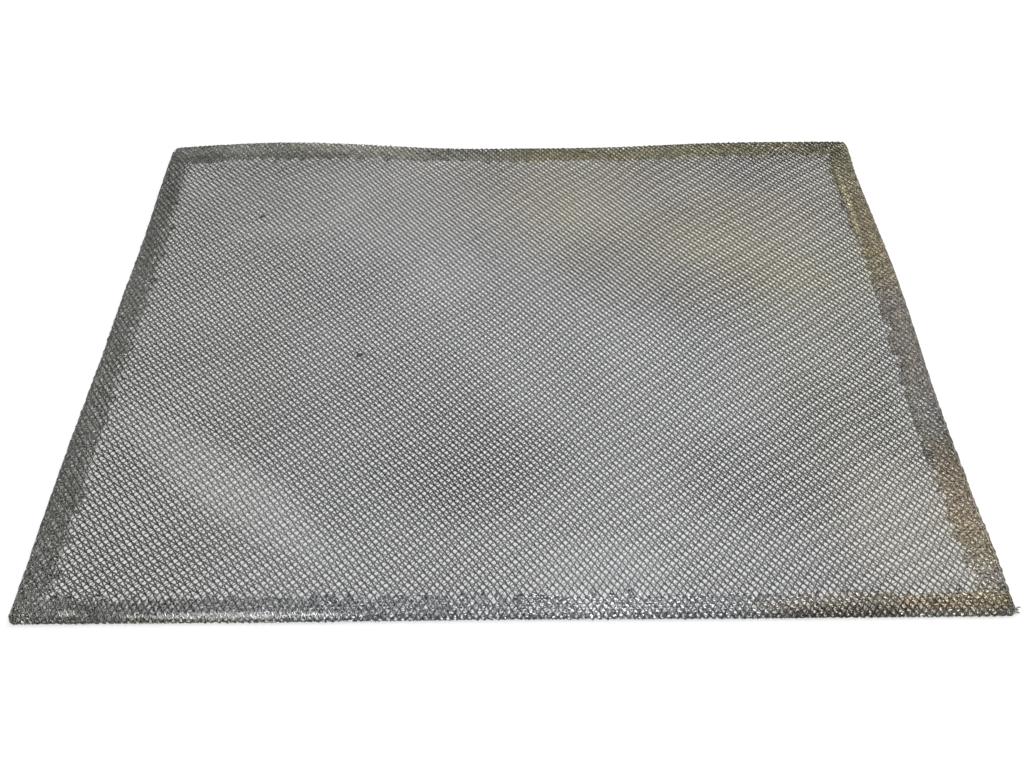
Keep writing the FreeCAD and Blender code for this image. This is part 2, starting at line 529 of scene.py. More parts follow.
@dataclass(frozen=True)
class MeshFinish:
    """Aluminium that heat, steam and grease have dulled, filmed and stained.

    The metal's colour turns to the film's and then to the rust's, and is made lighter or darker by random
    clouds and by painted light and painted shade: on the hems, as painted highlights on their rolled edges,
    and in soft patches of painted sheen and shade. Hems are the front, right, back and left one. A span is
    where a smooth step starts and where it is full.
    """

    name: str
    metal: tuple[float, float, float, float]
    film: tuple[float, float, float, float]
    rust: tuple[float, float, float, float]
    hems: tuple[HemTone, HemTone, HemTone, HemTone]
    panel: Panel
    # Soft patches of painted sheen, painted highlight and painted shade
    painted_light_and_shade: tuple[Patch, ...]
    films: tuple[Patch, ...]
    stains: tuple[Patch, ...]
    metallic: float = 0.97
    roughness: float = 0.3
    grain_scale: float = 420.0
    grain_swing: float = 0.25
    cloud_scale: float = 22.0
    cloud_swing: float = 0.2
    # Random light and dark flecks in the hems, which also paint glints
    speckle_and_glints_scale: float = 900.0
    speckle_and_glints_span: tuple[float, float] = (0.38, 0.62)
    # Painted light: the front hem's lower layers are made lighter where the layers above shade them
    under_painted_light: float = 0.8
    under_painted_light_span: tuple[float, float] = (1.6 * MM, 0.9 * MM)
    streak_scale: float = 38.0
    streak_span: tuple[float, float] = (0.36, 0.66)
    streak_least: float = 0.3
    streak_swing: float = 0.6
    right_film: float = 0.35
    back_film: float = 0.3
    back_film_span: tuple[float, float] = (-20 * MM, 90 * MM)

    def insides(self, x: Shade, y: Shade) -> tuple[Shade, Shade, Shade, Shade]:
        """Distances from the four outer edges.

        Args:
            x: places along the length.
            y: places along the depth.

        Returns:
            The distances from the front, right, back and left edge.
        """
        half_x, half_y = self.panel.length / 2, self.panel.depth / 2
        return y + half_y, half_x - x, half_y - y, x + half_x

    @staticmethod
    def total(patches: tuple[Patch, ...], x: Shade, y: Shade) -> Shade:
        """The strengths of all the patches, added up."""
        first, *others = (patch.share(x, y) for patch in patches)
        return sum(others, first)

    def tone(self, graph: Graph, vector: Shade, x: Shade, y: Shade, z: Shade) -> Shade:
        """How much lighter or darker the metal is than its plain colour, by random clouds and by painted
        light and shade.

        Random slow clouds, the hems' painted light and shade and the patches of painted sheen, highlight
        and shade are added up. A corner takes its hem's painted light from one hem only. The sum is
        multiplied by the hems' random flecks, which also paint glints, and by painted light that lightens
        the front hem's lower layers where the layers above shade them.

        Args:
            graph: the material's nodes.
            vector: the place on the piece.
            x: its X.
            y: its Y.
            z: its Z.

        Returns:
            The factor.
        """
        clouds = graph.noise(vector, self.cloud_scale)
        # Random flecks that lighten and darken the hems, partly painted glints
        speckle_and_glints = graph.noise(vector, self.speckle_and_glints_scale, detail=1.0).step(*self.speckle_and_glints_span)
        tone = 1.0 + self.cloud_swing * (clouds - 0.5)
        # How strongly each hem takes the flecks and painted glints
        grain = 0.0
        rest = 1.0
        shares = [look.shares(inside) for look, inside in zip(self.hems, self.insides(x, y))]
        for look, (hem, roll) in zip(self.hems, shares):
            own = hem * rest
            # Painted light and shade on each hem, and a painted highlight that grows toward its rolled edge
            tone = tone + (look.gain + look.roll_painted_highlight * roll) * own
            grain = grain + look.speckle_and_glints * own
            rest = rest * (1.0 - hem)
        # Painted sheen, painted highlights and painted shade, in soft patches
        tone = tone + self.total(self.painted_light_and_shade, x, y)
        front, _ = shares[0]
        # Painted light on the front hem's lower layers, which the layers above shade
        under = 1.0 + self.under_painted_light * front * z.step(*self.under_painted_light_span)
        return tone * (1.0 + grain * (speckle_and_glints - 0.5)) * under

    def grease(self, graph: Graph, vector: Shade, x: Shade, y: Shade) -> Shade:
        """How thick the yellow film is: in soft patches, and in streaks on the right and back hems.

        Args:
            graph: the material's nodes.
            vector: the place on the piece.
            x: its X.
            y: its Y.

        Returns:
            The share of film, which is full from 1 on and none below 0.
        """
        _, right_look, back_look, _ = self.hems
        _, from_right, from_back, _ = self.insides(x, y)
        right, _ = right_look.shares(from_right)
        back, _ = back_look.shares(from_back)
        back = back * x.step(*self.back_film_span)
        streaks = graph.noise(vector, self.streak_scale, detail=3.0, rough=0.6).step(*self.streak_span)
        film = (self.right_film * right).most(self.back_film * back)
        film = film * (self.streak_least + self.streak_swing * streaks)
        return film + self.total(self.films, x, y)

    def material(self) -> bpy.types.Material:
        """Builds the finish.

        Returns:
            The material.
        """
        made = bpy.data.materials.new(self.name)
        graph = Graph(made)
        vector, x, y, z = graph.place()
        colour = graph.blend(self.grease(graph, vector, x, y), self.metal, self.film)
        colour = graph.blend(self.total(self.stains, x, y), colour, self.rust)
        tone = self.tone(graph, vector, x, y, z)
        scale = graph.node("ShaderNodeVectorMath", {"operation": "SCALE"}, {0: colour, "Scale": tone})
        grain = graph.noise(vector, self.grain_scale, detail=1.0)
        rough = self.roughness + self.grain_swing * (grain - 0.5)
        values = {"Base Color": graph.out(scale), "Roughness": rough, "Metallic": self.metallic}
        shader = graph.node("ShaderNodeBsdfPrincipled", None, values)
        graph.node("ShaderNodeOutputMaterial", None, {0: graph.out(shader)})
        return made


@dataclass
class ExpandedSheet(ABC):
    """A sheet of expanded mesh, as closed zigzag ribbons.

    Its ribbons are shared out among a few pieces. Near the folds they have twice as many rings.
    """

    name: str
    node: str
    slot: str
    gauge: Gauge
    run: Run
    panel: Panel
    shares: tuple[str, ...]
    seed: int
    wear: Wear = field(default_factory=Wear)
    fine_zone: float = 13 * MM
    spare_rings: int = 10
    spare_ribbons: int = 8

    @property
    @abstractmethod
    def fold_radius(self) -> float:
        """Radius of the fold, at the middle of the sheet."""

    @property
    @abstractmethod
    def fold_inset(self) -> float:
        """Distance from the filter's outer edge to where the fold starts."""

    @property
    @abstractmethod
    def flap_width(self) -> float:
        """Width of the flap, seen from below, from where the fold starts."""

    @property
    def fold_start(self) -> tuple[float, float]:
        """Where the fold starts on the flat cut, along X and along Y."""
        return self.panel.length / 2 - self.fold_inset, self.panel.depth / 2 - self.fold_inset

    @property
    def flap_end(self) -> float:
        """Length of fold and flap on the flat cut."""
        return math.pi * self.fold_radius + self.flap_width

    def laid(self, along: np.ndarray, across: np.ndarray) -> tuple[np.ndarray, np.ndarray]:
        """Places along and across the ribbons, in the order of X and Y."""
        return (along, across) if self.run is Run.LEFT_TO_RIGHT else (across, along)

    def kept(self, x: np.ndarray, y: np.ndarray) -> np.ndarray:
        """Which places of the plane lie on the panel, its folds or its mitred flaps.

        The flaps' ends are ragged, and at the corners they lap over each other a little.

        Args:
            x: places along the length of the flat cut.
            y: places along its depth.

        Returns:
            True for the places on the cut.
        """
        start_x, start_y = self.fold_start
        past_x, past_y = np.abs(x) - start_x, np.abs(y) - start_y
        lapped = self.panel.mitre_lap + math.pi * self.fold_radius
        wear, seed = self.wear, self.seed + Draw.FLAP_END
        ripple = Ripple(seed, wear.ragged_waves, wear.ragged_shortest, wear.ragged_longest)
        end = self.flap_end + wear.ragged * ripple.field(x, y)
        slip_x, slip_y = self.panel.slip(x, y)
        side = (past_y <= np.minimum(lapped - past_x, 0)) & (past_x <= end + slip_x)
        front = (past_x <= np.minimum(lapped - past_y, 0)) & (past_y <= end + slip_y)
        return side | front

    def margin(self, x: np.ndarray, y: np.ndarray, width: float) -> np.ndarray:
        """How far into a margin of the flat cut a place is: 0 inside, 1 in it, with a soft change.

        Args:
            x: places along the length of the flat cut.
            y: places along its depth.
            width: the margin's width from the filter's outer edge inward.

        Returns:
            The share at each place.
        """
        reach = np.maximum(np.abs(x) - self.panel.length / 2, np.abs(y) - self.panel.depth / 2)
        share = np.clip((reach + width) / self.wear.margin_change + 0.5, 0, 1)
        return share * share * (3 - 2 * share)

    def folded(self, flat: np.ndarray, above: np.ndarray, start: float) -> tuple[np.ndarray, np.ndarray]:
        """Carries places on the flat cut round the fold, in one direction.

        Up to the fold's start they stay; then they turn on half a circle; then they run back.

        Args:
            flat: places along the flat cut.
            above: heights over the middle of the sheet.
            start: where the fold starts.

        Returns:
            The places along the filter, and the heights over the surface that it lies on.
        """
        radius, middle = self.fold_radius, self.panel.hem_height / 2
        past = np.abs(flat) - start
        angle = np.clip(past / radius, 0, math.pi)
        back = np.maximum(past - math.pi * radius, 0)
        out = np.minimum(np.abs(flat), start) + (radius + above) * np.sin(angle) - back
        return np.sign(flat) * out, middle + (radius + above) * np.cos(angle)

    def formed(self, x: np.ndarray, y: np.ndarray, above: np.ndarray) -> np.ndarray:
        """Where places on the flat cut lie on the filter: folded in X or in Y, buckled, then bent.

        None of them lies lower than the flat surface under the filter.

        Args:
            x: places along the length of the flat cut.
            y: places along its depth.
            above: heights over the middle of the sheet.

        Returns:
            The places on the filter, with their coordinates last.
        """
        start_x, start_y = self.fold_start
        place_x, height_x = self.folded(x, above, start_x)
        place_y, height_y = self.folded(y, above, start_y)
        height = np.maximum(np.where(np.abs(x) > start_x, height_x, height_y), 0)
        height = height * self.panel.pinch(place_x, place_y) + self.panel.lift(place_x, place_y)
        place_x, place_y = self.panel.bent(place_x, place_y)
        return np.stack([place_x, place_y, height], axis=-1)

    def rings_along(self, start: float) -> np.ndarray:
        """Places of the rings along a ribbon, in strand lengths.

        There is one at each knuckle, and one more halfway along each strand near the folds.

        Args:
            start: where the fold starts along the ribbon.

        Returns:
            The places, in order.
        """
        strand = self.gauge.long_way / 2
        count = int((start + self.flap_end) / strand) + self.spare_rings
        knuckles = np.arange(-count, count + 1, dtype=float)
        near = np.abs(np.abs(knuckles * strand) - start) < self.fine_zone
        return np.sort(np.concatenate([knuckles, knuckles[near] + 0.5]))

    def rings(self, ribbons: np.ndarray) -> tuple[np.ndarray, np.ndarray]:
        """The corners of the rings of some ribbons on the flat cut.

        A ribbon swings from side to side by a triangle wave, so that it meets one neighbour and then
        the other, and is lowest where it has swung forward. Its section is a thin rectangle that
        leans by the gauge's angle, but for slow drift and chance.

        Args:
            ribbons: the ribbons' numbers.

        Returns:
            The corners as (ribbon, ring, corner, place), and whether each ring is kept. A place is
            its X and Y on the flat cut and its height over the middle of the sheet.
        """
        gauge, wear = self.gauge, self.wear
        start_x, start_y = self.fold_start
        steps = self.rings_along(start_x if self.run is Run.LEFT_TO_RIGHT else start_y)
        number, step = np.meshgrid(ribbons.astype(float), steps, indexing="ij")
        swing = 2 * np.abs(np.mod(number + step, 2) - 1) - 1
        across = number * gauge.short_way / 2
        across = across + gauge.overstretch * np.maximum(across - gauge.stretch_start, 0) ** 2
        along = step * gauge.long_way / 2
        across, along = across + gauge.ribbon_slant * along, along + gauge.knuckle_slant * across
        in_hem = self.margin(*self.laid(along, across), self.panel.hem_width)
        at_edge = self.margin(*self.laid(along, across), wear.edge_zone)
        spread = gauge.strand_width * (1 + wear.edge_spread * at_edge)
        chance = np.random.default_rng(self.seed + ribbons.size).normal(size=number.shape)
        chance = chance * (wear.lean_chance + (wear.hem_lean_chance - wear.lean_chance) * in_hem)
        drift = wear.lean_drift * Ripple(self.seed + Draw.LEAN).field(across, along)
        lean = np.radians((gauge.lean_degrees + drift) * (1 - gauge.pressing * in_hem) + chance)
        cosine, sine = np.cos(lean), np.sin(lean)
        overlap = gauge.bite * spread / 2
        across = across + swing * (gauge.short_way / 4 - overlap * cosine)
        across = across + wear.place_drift * Ripple(self.seed + Draw.ACROSS).field(across, along)
        along = along + wear.place_drift * Ripple(self.seed + Draw.ALONG).field(across, along)
        height = wear.ribbon_step * np.mod(number, 2) - swing * overlap * sine
        side, face = SECTION_SIDE * spread[..., None], SECTION_FACE * gauge.strand_thickness
        corner_across = across[..., None] + side * cosine[..., None] - face * sine[..., None]
        corner_height = height[..., None] + side * sine[..., None] + face * cosine[..., None]
        corner_along = along[..., None] + SECTION_SIDE * gauge.skew
        corners = np.stack([*self.laid(corner_along, corner_across), corner_height], axis=-1)
        return corners, self.kept(*self.laid(along, across))

    @staticmethod
    def skin(kept: np.ndarray) -> np.ndarray:
        """The quads between the kept rings: four along each strand and one at each open end.

        Args:
            kept: whether each ring of each ribbon is there.

        Returns:
            Places of the quads' corners among all rings' corners, (quad, 4).
        """
        ribbons, rings = kept.shape
        first = np.arange(ribbons * rings).reshape(ribbons, rings) * 4
        joined = kept[:, :-1] & kept[:, 1:]
        base, following = first[:, :-1][joined], first[:, 1:][joined]
        turn = np.arange(4)
        upon = np.roll(turn, -1)
        sides = np.stack(
            [
                base[:, None] + turn,
                base[:, None] + upon,
                following[:, None] + upon,
                following[:, None] + turn,
            ],
            axis=-1,
        ).reshape(-1, 4)
        none = np.zeros((ribbons, 1), bool)
        opens = kept & np.hstack([joined, none]) & ~np.hstack([none, joined])
        closes = kept & np.hstack([none, joined]) & ~np.hstack([joined, none])
        starts = first[opens][:, None] + turn[::-1]
        ends = first[closes][:, None] + turn
        return np.concatenate([sides, starts, ends])

    @staticmethod
    def strip_map(quads: np.ndarray, ribbons: int, rings: int) -> np.ndarray:
        """A flat map of the quads: rings from left to right, each ribbon's sides one over another.

        A ribbon's lane holds its four sides and a gap. The quads at its ends get a narrow strip each.

        Args:
            quads: the quads' corners among all rings' corners.
            ribbons: how many ribbons there are.
            rings: how many rings a ribbon has.

        Returns:
            Places from 0 to 1 for each corner of each quad, (quad, 4, 2).
        """
        lane, end_strip = 4.5, 0.4
        ring, corner = np.divmod(quads, 4)
        ribbon, step = np.divmod(ring, rings)
        ends = step.min(axis=1) == step.max(axis=1)
        wraps = (corner.max(axis=1) - corner.min(axis=1) == 3) & ~ends
        upright = np.where(wraps[:, None] & (corner == 0), 4, corner).astype(float)
        across = step.astype(float)
        across[ends] += np.array([0.0, 0.0, end_strip, end_strip])
        place_u = (across + end_strip / 2) / (rings + end_strip)
        return np.stack([place_u, (ribbon * lane + upright) / (ribbons * lane)], axis=-1)

    def mesh(self, name: str, ribbons: np.ndarray) -> bpy.types.Mesh:
        """The mesh of some of the sheet's ribbons, with its faces outward.

        Args:
            name: the mesh's name.
            ribbons: the ribbons' numbers.

        Returns:
            The mesh, with its flat map.
        """
        corners, kept = self.rings(ribbons)
        quads = self.skin(kept)
        places = self.strip_map(quads, *kept.shape)
        points = self.formed(*np.moveaxis(corners, -1, 0)).reshape(-1, 3)
        used, quads = np.unique(quads, return_inverse=True)
        points, quads = points[used], quads.reshape(-1, 4)
        first, second, third, fourth = (points[quads[:, place]] for place in range(4))
        six_volumes = (first * (np.cross(second, third) + np.cross(third, fourth))).sum()
        if six_volumes < 0:
            quads, places = quads[:, ::-1], places[:, ::-1]
        made = bpy.data.meshes.new(name)
        made.vertices.add(len(points))
        made.loops.add(quads.size)
        made.polygons.add(len(quads))
        made.vertices.foreach_set("co", points.astype(np.float32).ravel())
        made.loops.foreach_set("vertex_index", quads.astype(np.int32).ravel())
        made.polygons.foreach_set("loop_start", np.arange(0, quads.size, 4, dtype=np.int32))
        made.update(calc_edges=True)
        layer = made.uv_layers.new(name="OFBake")
        layer.uv.foreach_set("vector", places.astype(np.float32).ravel())
        made.validate()
        return made

    def build(self, finish: MeshFinish) -> list[bpy.types.Object]:
        """Makes the sheet's pieces, dresses them and sets them in place of the solid.

        Args:
            finish: what the sheet is made of.

        Returns:
            The pieces, which share the sheet's ribbons among them.
        """
        start = self.fold_start[1 if self.run is Run.LEFT_TO_RIGHT else 0]
        count = int((start + self.flap_end) / (self.gauge.short_way / 2)) + self.spare_ribbons
        parcels = np.array_split(np.arange(-count, count + 1), len(self.shares))
        material = finish.material()
        pieces = []
        for share, ribbons in zip(self.shares, parcels):
            name = f"{self.name}_{share}"
            mesh = self.mesh(name, ribbons)
            mesh.materials.append(material)
            piece = bpy.data.objects.new(name, mesh)
            bpy.context.scene.collection.objects.link(piece)
            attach(piece, "root")
            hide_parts(self.node)
            LOG.info("%s: %d ribbons, %d quads", name, len(ribbons), len(mesh.polygons))
            pieces.append(piece)
        return pieces


@dataclass
class FaceSheet(ExpandedSheet):
    """The upper sheet, which wraps round the hem."""

    fold_shift: float = 0.5 * MM

    @property
    def fold_radius(self) -> float:
        """Half the hem's height, less half the sheet."""
        return (self.panel.hem_height - self.panel.sheet_thickness) / 2

    @property
    def fold_inset(self) -> float:
        """A little less than half the hem's height, so that the strands reach the outer edge."""
        return self.panel.hem_height / 2 - self.fold_shift

    @property
    def flap_width(self) -> float:
        """The hem's width from where the fold starts."""
        return self.panel.hem_width - self.fold_inset


@dataclass
class BackingSheet(ExpandedSheet):
    """The lower sheet, folded inside the upper one."""

    tuck: float = 0.9 * MM
    nest: float = 0.85 * MM

    @property
    def fold_radius(self) -> float:
        """A tight fold, inside the face sheet's."""
        return self.tuck

    @property
    def fold_inset(self) -> float:
        """Less than the face sheet's, so that the strands of the two folds nest in each other."""
        return self.panel.hem_height / 2 - self.nest

    @property
    def flap_width(self) -> float:
        """Ends a sheet's thickness short of the face sheet's flap."""
        return self.panel.hem_width - self.fold_inset - self.panel.sheet_thickness


@dataclass(frozen=True)
class CrumbFinish:
    """Burnt grease, nearly black and dull, with brown specks."""

    name: str = "burnt_grease"
    colour: tuple[float, float, float, float] = (0.028, 0.025, 0.021, 1.0)
    speck_colour: tuple[float, float, float, float] = (0.055, 0.043, 0.03, 1.0)
    speck_scale: float = 1500.0
    speck_span: tuple[float, float] = (0.5, 0.7)
    roughness: float = 0.7
    rough_swing: float = 0.3

    def material(self) -> bpy.types.Material:
        """Builds the finish.

        Returns:
            The material.
        """
        made = bpy.data.materials.new(self.name)
        graph = Graph(made)
        vector, *_ = graph.place()
        specks = graph.noise(vector, self.speck_scale)
        colour = graph.blend(specks.step(*self.speck_span), self.colour, self.speck_colour)
        rough = self.roughness + self.rough_swing * (specks - 0.5)
        shader = graph.node("ShaderNodeBsdfPrincipled", None, {"Base Color": colour, "Roughness": rough})
        graph.node("ShaderNodeOutputMaterial", None, {0: graph.out(shader)})
        return made


@dataclass(frozen=True)
class Crumb:
    """A burnt crumb stuck on the face sheet: a lumpy oval."""

    name: str
    x: float
    y: float
    length: float
    width: float
    height: float
    turn: float
    seed: int
    rows: int = 9
    columns: int = 18
    waves: int = 5
    wave_tightness: float = 2.5
    wave_depth: float = 0.12

    def points(self, panel: Panel) -> np.ndarray:
        """The crumb's surface.

        Places on a ball by their angles are moved in or out by a few random waves, stretched to
        the crumb's half sizes, turned about Z and set on the sheet.

        Args:
            panel: the filter's outside sizes.

        Returns:
            The points: the lower end, the rows from below, and the upper end.
        """
        rise = np.linspace(-np.pi / 2, np.pi / 2, self.rows + 2)[1:-1, None]
        about = np.linspace(0, 2 * np.pi, self.columns, endpoint=False)[None, :]
        rise, about = np.broadcast_arrays(rise, about)
        ball = np.stack([np.cos(rise) * np.cos(about), np.cos(rise) * np.sin(about), np.sin(rise)], axis=-1)
        ball = np.concatenate([[[0, 0, -1]], ball.reshape(-1, 3), [[0, 0, 1]]])
        waves = np.random.default_rng(self.seed).normal(size=(self.waves, 3)) * self.wave_tightness
        lumps = 1 + self.wave_depth * np.sin(ball @ waves.T + np.arange(self.waves)).sum(axis=1)
        ball = ball * lumps[:, None] * np.array([self.length, self.width, self.height]) / 2
        cosine, sine = math.cos(math.radians(self.turn)), math.sin(math.radians(self.turn))
        x = self.x + cosine * ball[:, 0] - sine * ball[:, 1]
        y = self.y + sine * ball[:, 0] + cosine * ball[:, 1]
        top = panel.hem_height - panel.sheet_thickness / 2
        return np.stack([x, y, top + ball[:, 2] + panel.lift(x, y)], axis=-1)

    def faces(self) -> list[list[int]]:
        """The faces: a fan at each end and quads between the rows.

        Returns:
            The places of each face's corners among the points.
        """
        turn = np.arange(self.columns)
        upon = np.roll(turn, -1)
        first = 1 + np.arange(self.rows - 1)[:, None] * self.columns
        above = first + self.columns
        quads = np.stack([first + turn, first + upon, above + upon, above + turn], axis=-1)
        last = self.rows * self.columns + 1
        low = np.stack([np.zeros_like(turn), 1 + upon, 1 + turn], axis=-1)
        top_row = last - self.columns
        high = np.stack([np.full_like(turn, last), top_row + turn, top_row + upon], axis=-1)
        return quads.reshape(-1, 4).tolist() + low.tolist() + high.tolist()

    def build(self, panel: Panel, material: bpy.types.Material) -> bpy.types.Object:
        """Makes the crumb.

        Args:
            panel: the filter's outside sizes.
            material: what it is made of.

        Returns:
            The crumb.
        """
        mesh = bpy.data.meshes.new(self.name)
        mesh.from_pydata(self.points(panel).tolist(), [], self.faces())
        mesh.shade_smooth()
        mesh.materials.append(material)
        crumb = bpy.data.objects.new(self.name, mesh)
        bpy.context.scene.collection.objects.link(crumb)
        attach(crumb, "root")
        LOG.info("%s: %d faces", self.name, len(mesh.polygons))
        return crumb


@dataclass(frozen=True)
class FrayedTip:
    """A few strands that stand out where the sheet has frayed at a corner."""

    name: str = "frayed_tip"
    root: tuple[float, float, float] = (237.8 * MM, -167.4 * MM, 1.5 * MM)
    reach: float = 3.4 * MM
    strands: int = 5
    steps: int = 7
    width: float = 0.8 * MM
    thickness: float = 0.4 * MM
    fan_degrees: tuple[float, float] = (-38.0, 42.0)
    most_bend: float = 1.6 * MM
    rises: tuple[float, float] = (-0.6 * MM, 1.8 * MM)
    shortest: float = 0.75
    seed: int = 5

    def points(self) -> np.ndarray:
        """The strands' rings of four corners.

        Each strand runs out from the root in its own direction and bends to the side with the
        square of the way along it. Its section is a flat rectangle across that direction.

        Returns:
            The corners as (strand, ring, corner, xyz).
        """
        chance = np.random.default_rng(self.seed)
        heading = np.radians(np.linspace(*self.fan_degrees, self.strands))[:, None]
        bend = chance.uniform(-self.most_bend, self.most_bend, heading.shape)
        rise = chance.uniform(*self.rises, heading.shape)
        length = self.reach * chance.uniform(self.shortest, 1.0, heading.shape)
        along = np.linspace(0, 1, self.steps)[None, :]
        x = self.root[0] + length * along * np.cos(heading) - bend * along**2 * np.sin(heading)
        y = self.root[1] + length * along * np.sin(heading) + bend * along**2 * np.cos(heading)
        z = self.root[2] + rise * along
        side, face = SECTION_SIDE * self.width, SECTION_FACE * self.thickness
        corner_x = x[..., None] - side * np.sin(heading)[..., None]
        corner_y = y[..., None] + side * np.cos(heading)[..., None]
        return np.stack([corner_x, corner_y, z[..., None] + face], axis=-1)

    def build(self, material: bpy.types.Material) -> bpy.types.Object:
        """Makes the tip.

        Args:
            material: what it is made of.

        Returns:
            The tip.
        """
        quads = ExpandedSheet.skin(np.ones((self.strands, self.steps), bool))
        mesh = bpy.data.meshes.new(self.name)
        mesh.from_pydata(self.points().reshape(-1, 3).tolist(), [], quads.tolist())
        mesh.materials.append(material)
        tip = bpy.data.objects.new(self.name, mesh)
        bpy.context.scene.collection.objects.link(tip)
        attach(tip, "root")
        LOG.info("%s: %d quads", self.name, len(quads))
        return tip


@dataclass(frozen=True)
class Lamp:
    """A soft square lamp."""

    name: str
    place: tuple[float, float, float]
    aim: tuple[float, float, float]
    size: float
    power: float

    def hang(self) -> None:
        """Hangs the lamp, turned to what it lights."""
        data = bpy.data.lights.new(self.name, "AREA")
        data.shape = "SQUARE"
        data.size = self.size
        data.energy = self.power
        lamp = bpy.data.objects.new(self.name, data)
        lamp.location = self.place
        away = np.array(self.aim) - np.array(self.place)
        lamp.rotation_euler = Vector(away).to_track_quat("-Z", "Y").to_euler()
        bpy.context.scene.collection.objects.link(lamp)


@dataclass(frozen=True)
class Studio:
    """The pale floor, the soft light and the camera."""

    floor_size: float = 6.0
    floor_colour: tuple[float, float, float, float] = (0.9, 0.9, 0.9, 1.0)
    floor_glow: float = 0.5
    glow_colour: tuple[float, float, float, float] = (1.0, 1.0, 1.0, 1.0)
    sky_colour: tuple[float, float, float, float] = (0.8, 0.81, 0.82, 1.0)
    sky_strength: float = 0.55
    lamps: tuple[Lamp, ...] = (
        Lamp("key_lamp", (0.45, 0.55, 1.5), (0.0, 0.0, 0.0), 1.6, 23.0),
        Lamp("fill_lamp", (0.8, 1.5, 0.7), (0.0, 0.0, 0.0), 1.0, 9.0),
        Lamp("front_lamp", (0.0, -1.1, 1.5), (0.0, 0.0, 0.0), 0.8, 8.0),
    )
    camera_place: tuple[float, float, float] = (-0.00033, -0.28743, 0.37064)
    camera_turn: tuple[float, float, float] = (34.4435, 0.1456, -0.4314)
    focal_share: float = 782.78 / 1024
    sensor: float = 36.0
    nearest: float = 0.01

    def floor(self) -> bpy.types.Object:
        """A flat square whose material glows white to the camera, in part, and still takes shadow.

        Returns:
            The floor.
        """
        half = self.floor_size / 2
        corners = np.array([[-1, -1, 0], [1, -1, 0], [1, 1, 0], [-1, 1, 0]]) * half
        mesh = bpy.data.meshes.new("floor")
        mesh.from_pydata(corners.tolist(), [], [(0, 1, 2, 3)])
        material = bpy.data.materials.new("floor_white")
        graph = Graph(material)
        plain = graph.node("ShaderNodeBsdfDiffuse", None, {"Color": self.floor_colour})
        glow = graph.node("ShaderNodeEmission", None, {"Color": self.glow_colour, "Strength": 1.0})
        path = graph.node("ShaderNodeLightPath")
        seen = graph.out(path, "Is Camera Ray").most(graph.out(path, "Is Glossy Ray"))
        seen = seen.most(graph.out(path, "Is Transmission Ray")) * self.floor_glow
        mixed = graph.node("ShaderNodeMixShader", None, {0: seen, 1: graph.out(plain), 2: graph.out(glow)})
        graph.node("ShaderNodeOutputMaterial", None, {0: graph.out(mixed)})
        mesh.materials.append(material)
        floor = bpy.data.objects.new("floor", mesh)
        bpy.context.scene.collection.objects.link(floor)
        return floor

    def sky(self) -> None:
        """Fills the room with even light."""
        world = bpy.data.worlds.new("room")
        graph = Graph(world)
        values = {"Color": self.sky_colour, "Strength": self.sky_strength}
        light = graph.node("ShaderNodeBackground", None, values)
        graph.node("ShaderNodeOutputWorld", None, {0: graph.out(light)})
        bpy.context.scene.world = world

    def camera(self) -> None:
        """Sets the camera where the photograph was taken."""
        data = bpy.data.cameras.new("camera")
        data.sensor_width = self.sensor
        data.lens = self.sensor * self.focal_share
        data.clip_start = self.nearest
        camera = bpy.data.objects.new("camera", data)
        camera.location = self.camera_place
        camera.rotation_euler = tuple(math.radians(angle) for angle in self.camera_turn)
        bpy.context.scene.collection.objects.link(camera)
        bpy.context.scene.camera = camera

    def build(self) -> None:
        """Sets up the floor, the light and the camera."""
        self.floor()
        self.sky()
        for lamp in self.lamps:
            lamp.hang()
        self.camera()
        bpy.context.scene.view_settings.view_transform = "Standard"


